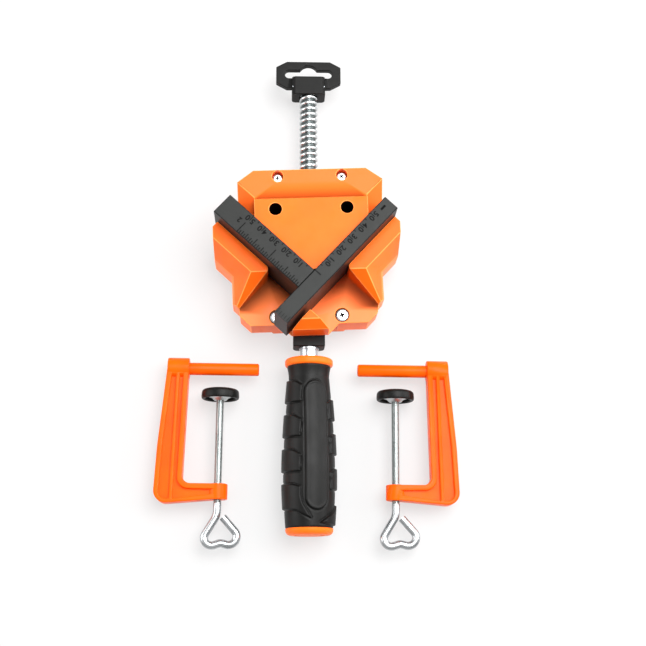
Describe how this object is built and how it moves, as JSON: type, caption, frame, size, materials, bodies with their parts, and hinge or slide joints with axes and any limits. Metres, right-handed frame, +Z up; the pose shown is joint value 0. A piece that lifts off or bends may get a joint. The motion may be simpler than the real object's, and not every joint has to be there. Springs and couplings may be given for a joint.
{
  "type": "corner clamp",
  "caption": "Corner clamp: two fixed jaws at right angles, a screw-driven moving jaw with a long grip handle, graduated bars, and loose bench clamps.",
  "frame": {"origin": "on the bench, under the corner where the two fixed jaw faces would meet", "axes": "+X to the right, +Y from the handle to the hanger along the base, +Z up"},
  "size_m": [0.1894, 0.3247, 0.061],
  "materials": {
    "orange_paint": "satin powder coat",
    "clamp_paint": "gloss enamel",
    "orange_plastic": "satin",
    "black_plastic": "matte",
    "grip_rubber": "matte",
    "pad_rubber": "matte",
    "steel": "turned",
    "bright_steel": "zinc plated",
    "dark_steel": "satin, dark",
    "brass": "turned"
  },
  "bodies": {
    "base": {"base_casting": "orange_paint", "foot_plate": "orange_paint", "foot_screws": "bright_steel", "pivot_pin": "steel", "thrust_block": "black_plastic"},
    "spindle": {"spindle": "steel", "thrust_washer": "steel", "retaining_ring": "steel", "handle_core": "orange_plastic", "handle_pin": "steel", "handle_grip": "grip_rubber", "end_cap": "orange_plastic"},
    "hanger": {"hanger": "black_plastic", "hanger_pin": "steel"},
    "jaw": {"moving_jaw": "orange_paint", "barrel_nut": "brass", "nut_keeper": "black_plastic", "head_screws": "bright_steel"},
    "long_bar": {"long_scale_bar": "dark_steel"},
    "short_bar": {"short_scale_bar": "dark_steel"},
    "left_clamp": {"left_clamp_frame": "clamp_paint", "left_clamp_peg": "clamp_paint"},
    "left_pad": {"left_pad_cup": "bright_steel", "left_pad_cap": "pad_rubber"},
    "left_screw": {"left_clamp_screw": "bright_steel"},
    "right_clamp": {"right_clamp_frame": "clamp_paint", "right_clamp_peg": "clamp_paint"},
    "right_pad": {"right_pad_cup": "bright_steel", "right_pad_cap": "pad_rubber"},
    "right_screw": {"right_clamp_screw": "bright_steel"}
  },
  "joints": [
    {"name": "spindle_turn", "type": "hinge", "parent": "base", "child": "spindle", "pos_m": [0, 0, 0.0178], "axis": [0.0391, 0.9992, 0], "range_deg": [-5040, 0]},
    {"name": "jaw_slide", "type": "slide", "parent": "base", "child": "jaw", "axis": [0.0391, 0.9992, 0], "range_m": [0, 0.056]},
    {"name": "hanger_swivel", "type": "hinge", "parent": "base", "child": "hanger", "pos_m": [0, 0, 0.0178], "axis": [0.0391, 0.9992, 0], "range_deg": [-40, 40]},
    {"name": "long_bar_lift", "type": "slide", "parent": "base", "child": "long_bar", "axis": [0, 0, 1], "range_m": [0, 0.05]},
    {"name": "short_bar_lift", "type": "slide", "parent": "base", "child": "short_bar", "axis": [0, 0, 1], "range_m": [0, 0.05]},
    {"name": "left_clamp_lift", "type": "slide", "parent": "base", "child": "left_clamp", "axis": [0, 0, 1], "range_m": [0, 0.06]},
    {"name": "left_pad_slide", "type": "slide", "parent": "left_clamp", "child": "left_pad", "axis": [0.0523, 0.9986, 0], "range_m": [-0.044, 0.008]},
    {"name": "left_screw_turn", "type": "hinge", "parent": "left_pad", "child": "left_screw", "pos_m": [-0.0567, -0.0313, 0.0119], "axis": [0.0523, 0.9986, 0], "range_deg": [-19800, 3600]},
    {"name": "right_clamp_lift", "type": "slide", "parent": "base", "child": "right_clamp", "axis": [0, 0, 1], "range_m": [0, 0.06]},
    {"name": "right_pad_slide", "type": "slide", "parent": "right_clamp", "child": "right_pad", "axis": [0.0523, 0.9986, 0], "range_m": [-0.044, 0.008]},
    {"name": "right_screw_turn", "type": "hinge", "parent": "right_pad", "child": "right_screw", "pos_m": [0.0536, -0.0365, 0.0119], "axis": [0.0523, 0.9986, 0], "range_deg": [-19800, 3600]}
  ],
  "couplings": [
    {"joint": "spindle_turn", "follows": "jaw_slide", "rad_per_m": -1570.8},
    {"joint": "left_screw_turn", "follows": "left_pad_slide", "rad_per_m": 7854},
    {"joint": "right_screw_turn", "follows": "right_pad_slide", "rad_per_m": 7854}
  ]
}
